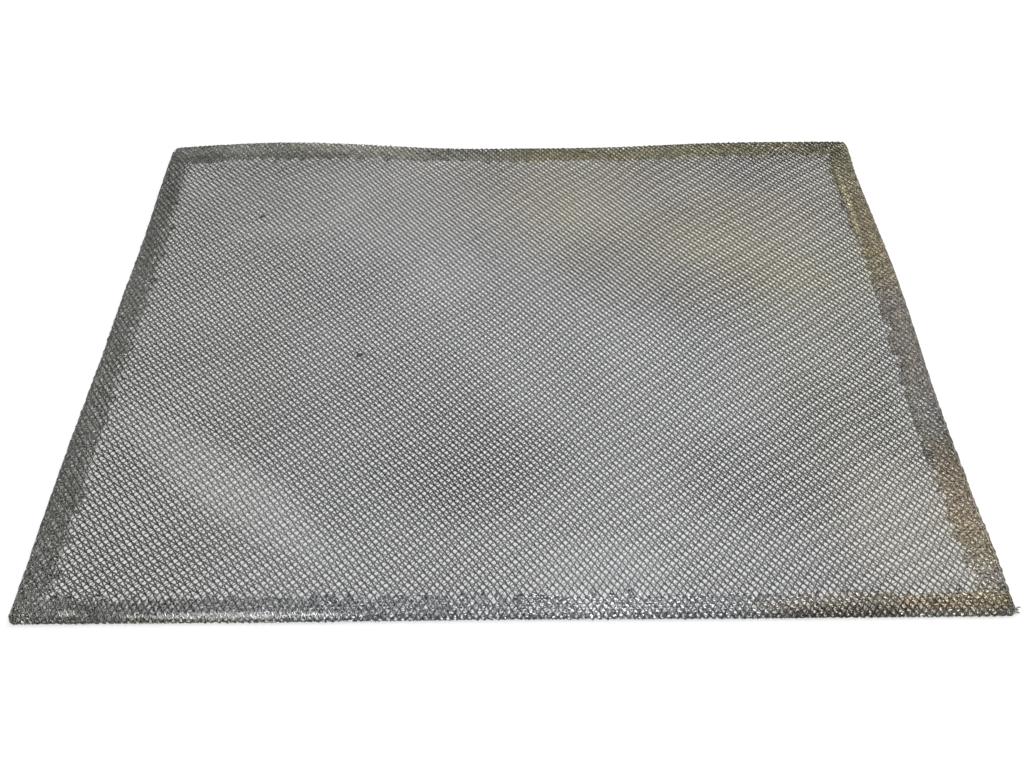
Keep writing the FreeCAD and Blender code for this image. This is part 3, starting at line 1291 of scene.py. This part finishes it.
def main() -> None:
    """Builds the filter and its studio."""
    logging.basicConfig(level=logging.INFO, format="%(message)s")
    panel = Panel()
    face_gauge = Gauge(
        long_way=4.66 * MM,
        short_way=3.5 * MM,
        strand_width=0.72 * MM,
        strand_thickness=0.2 * MM,
        lean_degrees=14.0,
        skew=0.21 * MM,
        ribbon_slant=-0.0073,
        knuckle_slant=0.039,
        pressing=0.0,
        overstretch=0.29,
        bite=0.45,
    )
    backing_gauge = Gauge(
        long_way=5.0 * MM,
        short_way=3.07 * MM,
        strand_width=0.7 * MM,
        strand_thickness=0.2 * MM,
        lean_degrees=-16.0,
        skew=0.24 * MM,
        ribbon_slant=0.013,
        knuckle_slant=0.026,
        pressing=0.3,
        overstretch=0.0,
        bite=0.45,
    )
    films = (
        Patch(150, 125, 190, 130, 0, 1.1),
        Patch(-265, 0, 200, 380, 0, 0.3),
        Patch(60, 190, 300, 150, 0, 0.45),
        Patch(255, -20, 150, 250, 0, 0.6),
        Patch(-150, -174, 120, 7, 0, 0.4),
        Patch(238, -10, 26, 90, 0, -0.8),
        Patch(236, -95, 24, 35, 0, -0.5),
        Patch(232, -150, 20, 10, 0, -0.5),
        Patch(240, -168, 16, 9, 0, -0.4),
        Patch(222, -162.5, 26, 5.0, 0, 0.7),
    )
    stains = (
        Patch(212, -163.0, 36, 6.5, 0, 0.85),
        Patch(160, -164, 55, 9, 0, 0.5),
        Patch(238, -105, 26, 48, 0, 0.8),
        Patch(238, 95, 22, 75, 0, 0.5),
        Patch(238, 0, 20, 75, 0, 0.45),
        Patch(195, -125, 50, 45, 0, 0.2),
        Patch(232, -150, 22, 12, 0, 0.4),
        Patch(185, 110, 70, 60, 0, 0.15),
    )
    # Painted sheen: lighter soft patches on the panel
    panel_painted_sheen = (
        Patch(-155, -94, 90, 22, -34, 0.8),
        Patch(-110, -150, 60, 32, 0, 0.35),
        Patch(45, -150, 45, 30, 0, 0.35),
        Patch(210, -128, 50, 50, 0, 0.4),
        Patch(-38, 52, 32, 32, 0, 0.3),
        Patch(-150, 84, 44, 11, 10, 0.25),
        Patch(-108, 106, 30, 10, 58, 0.25),
        Patch(-135, -115, 45, 28, 0, 0.25),
    )
    # Painted shade: darker soft patches on the panel
    panel_painted_shade = (
        Patch(-23, -85, 66, 48, 0, -0.45),
        Patch(-110, 45, 60, 42, 0, -0.25),
        Patch(70, 55, 55, 48, 0, -0.35),
        Patch(130, -95, 60, 40, 0, -0.35),
        Patch(180, 130, 110, 80, 0, -0.3),
        Patch(125, 30, 45, 45, 0, -0.25),
        Patch(88, 108, 45, 30, 0, -0.25),
        Patch(185, -55, 45, 40, 0, -0.3),
        Patch(-55, -35, 60, 35, 0, -0.2),
        Patch(-212, 100, 35, 70, 0, -0.25),
        Patch(178, 140, 50, 30, 0, -0.25),
        Patch(-180, 140, 45, 20, 0, -0.25),
    )
    # Painted highlights and painted light on the hems: glint lines along the rolled front and back edges
    # and the right hem's inner edge, and lighter stretches of hem
    hem_painted_light = (
        Patch(-130, -167, 70, 2.0, 0, 5.0),
        Patch(-212, -165.5, 6, 2.2, 0, 4.0),
        Patch(-150, 165, 110, 9, 0, 1.0),
        Patch(-110, 170.5, 130, 3.0, 0, 3.5),
        Patch(-60, 157, 70, 9, 0, 0.3),
        Patch(-185, 152, 62, 6, 0, 0.7),
        Patch(228, -148, 18, 10, 0, 0.4),
        Patch(50, -166, 35, 6, 0, 0.4),
        Patch(224, -55, 14, 32, 0, 0.25),
        Patch(-200, 163, 45, 9, 0, 0.3),
        Patch(-230, 163, 18, 10, 0, 0.4),
        Patch(-228, -162, 18, 10, 0, 0.5),
        Patch(227, 100, 2.2, 48, 0, 0.9),
    )
    # Painted shade on the hems: darker stretches of hem
    hem_painted_shade = (
        Patch(60, 185, 300, 80, 0, -0.35),
        Patch(235, 10, 60, 170, 0, -0.2),
        Patch(215, -165, 40, 6, 0, -0.5),
        Patch(155, -168, 45, 6, 0, -0.8),
        Patch(225, 162, 25, 20, 0, -0.4),
        Patch(185, -162, 30, 8, 0, -0.4),
        Patch(235, -85, 20, 40, 0, -0.15),
        Patch(-232, 130, 20, 40, 0, -0.2),
    )
    # All the painted light and painted shade patches, which both sheets share
    painted_light_and_shade = (*panel_painted_sheen, *panel_painted_shade, *hem_painted_light, *hem_painted_shade)
    face_finish = MeshFinish(
        name="dulled_face_mesh_painted_light",
        # The face sheet's metal, film and rust are much darker than the backing's, though both are the same
        # aluminium: painted shade for the dark surroundings that the face strands reflect
        metal=(0.0985, 0.1, 0.1022, 1),
        film=(0.108, 0.1, 0.067, 1),
        rust=(0.125, 0.104, 0.078, 1),
        # Painted light and shade on each hem, and painted highlights on the rolled edges
        hems=(
            HemTone(12.5 * MM, 0.25, 0.2, 0.8),
            HemTone(17.0 * MM, 0.2, 0.4, 0.7),
            HemTone(16.0 * MM, 0.2, 0.1, 0.5),
            HemTone(17.5 * MM, -0.05, 0.5, 0.3),
        ),
        panel=panel,
        # Painted shade on the face sheet along the front-left hem
        painted_light_and_shade=(*painted_light_and_shade, Patch(-165, -163, 80, 8, 0, -0.35)),
        films=films,
        stains=stains,
    )
    backing_finish = MeshFinish(
        name="dulled_backing_mesh_painted_light",
        # The backing's metal, film and rust are lighter than the face sheet's: painted light on the same
        # aluminium
        metal=(0.235, 0.239, 0.244, 1),
        film=(0.257, 0.24, 0.158, 1),
        rust=(0.29, 0.242, 0.182, 1),
        # The backing's hems are painted much lighter where the face sheet above shades them: painted light
        hems=(
            HemTone(12.5 * MM, 1.1, 0.0, 1.2),
            HemTone(17.0 * MM, 0.95, 0.2, 0.7),
            HemTone(16.0 * MM, 0.9, 0.0, 0.5),
            HemTone(17.5 * MM, 2.25, 0.3, 1.2),
        ),
        panel=panel,
        # Painted light on the backing along the front-left hem, where the face sheet shades it
        painted_light_and_shade=(*painted_light_and_shade, Patch(-165, -163, 80, 8, 0, 1.6)),
        films=films,
        stains=stains,
    )
    face = FaceSheet(
        name="face_mesh",
        node="face_sheet",
        slot="face_mesh",
        gauge=face_gauge,
        run=Run.FRONT_TO_BACK,
        panel=panel,
        shares=("left", "middle", "right"),
        seed=11,
    )
    backing = BackingSheet(
        name="backing_mesh",
        node="backing_sheet",
        slot="backing_mesh",
        gauge=backing_gauge,
        run=Run.LEFT_TO_RIGHT,
        panel=panel,
        shares=("front", "middle", "back"),
        seed=23,
    )
    left_crumb = Crumb(
        name="crumb_left",
        x=-162.5 * MM,
        y=96.5 * MM,
        length=4.5 * MM,
        width=1.5 * MM,
        height=0.9 * MM,
        turn=35.0,
        seed=3,
    )
    middle_crumb = Crumb(
        name="crumb_middle",
        x=-88 * MM,
        y=-14.2 * MM,
        length=3.8 * MM,
        width=2.7 * MM,
        height=1.0 * MM,
        turn=12.0,
        seed=4,
    )
    face_pieces = face.build(face_finish)
    backing.build(backing_finish)
    FrayedTip().build(face_pieces[0].data.materials[0])
    burnt = CrumbFinish().material()
    left_crumb.build(panel, burnt)
    middle_crumb.build(panel, burnt)
    Studio().build()


if __name__ == "__main__":
    main()
